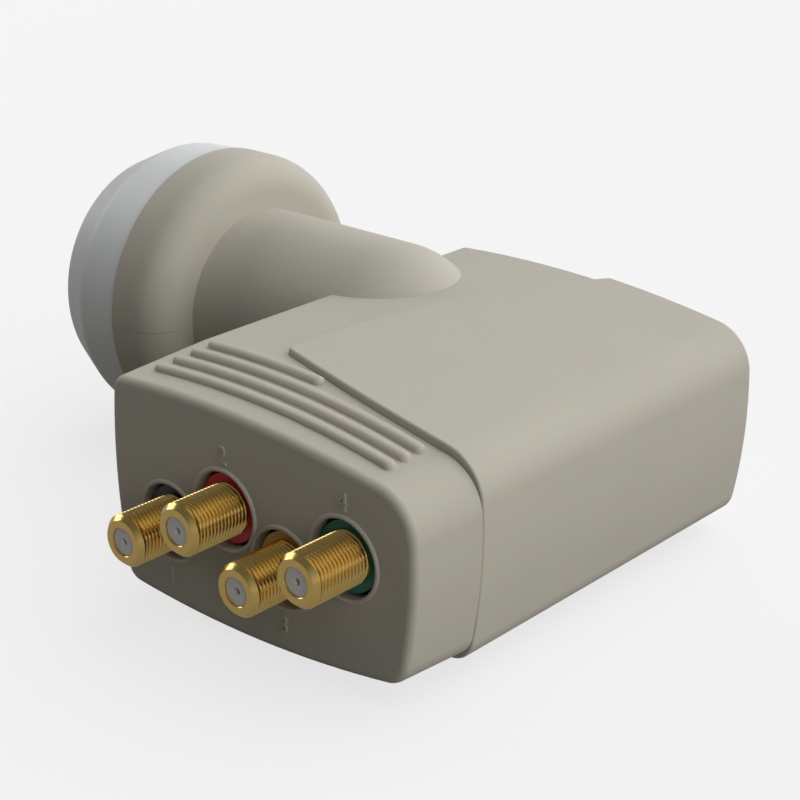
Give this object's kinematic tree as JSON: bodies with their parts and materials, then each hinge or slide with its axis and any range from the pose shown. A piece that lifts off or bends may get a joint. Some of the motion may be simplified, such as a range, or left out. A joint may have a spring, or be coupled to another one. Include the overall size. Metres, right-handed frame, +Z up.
{
  "type": "satellite lnb",
  "caption": "Satellite LNB: moulded body on a round feed neck, with a capped feed ring at one end and threaded F outputs with coloured washers at the front.",
  "frame": {"origin": "on the feed axis, half way along the neck that the dish clamp grips", "axes": "+X from the feed cap along the feed axis to the body, -Y the way the outputs point, +Z up"},
  "size_m": [0.1387, 0.1106, 0.061],
  "materials": {
    "housing": "fine moulded sand-coloured plastic",
    "cover": "fine moulded sand-coloured plastic",
    "cap": "smooth pale grey plastic",
    "seal": "soft black",
    "casting": "as cast",
    "lid": "rolled sheet",
    "screws": "zinc plated",
    "board": "green solder mask",
    "cans": "tinned sheet",
    "chips": "black moulding compound",
    "probe": "plated",
    "gold": "gold plated",
    "insulator": "pale insulator",
    "contact": "plated",
    "black": "coloured plastic",
    "red": "coloured plastic",
    "yellow": "coloured plastic",
    "green": "coloured plastic"
  },
  "bodies": {
    "root": {"main_housing": "housing", "rear_cover": "cover", "feed_cap": "cap", "cap_seal": "seal", "feed_horn": "casting", "chassis": "casting", "shield_lid": "lid", "lid_screws": "screws", "circuit_board": "board", "shielding_cans": "cans", "board_chips": "chips", "vertical_probe": "probe", "horizontal_probe": "probe", "black_washer": "black", "red_washer": "red", "yellow_washer": "yellow", "green_washer": "green", "connector_shell_1": "gold", "connector_insulator_1": "insulator", "connector_contact_1": "contact", "connector_shell_2": "gold", "connector_insulator_2": "insulator", "connector_contact_2": "contact", "connector_shell_3": "gold", "connector_insulator_3": "insulator", "connector_contact_3": "contact", "connector_shell_4": "gold", "connector_insulator_4": "insulator", "connector_contact_4": "contact"}
  },
  "joints": []
}
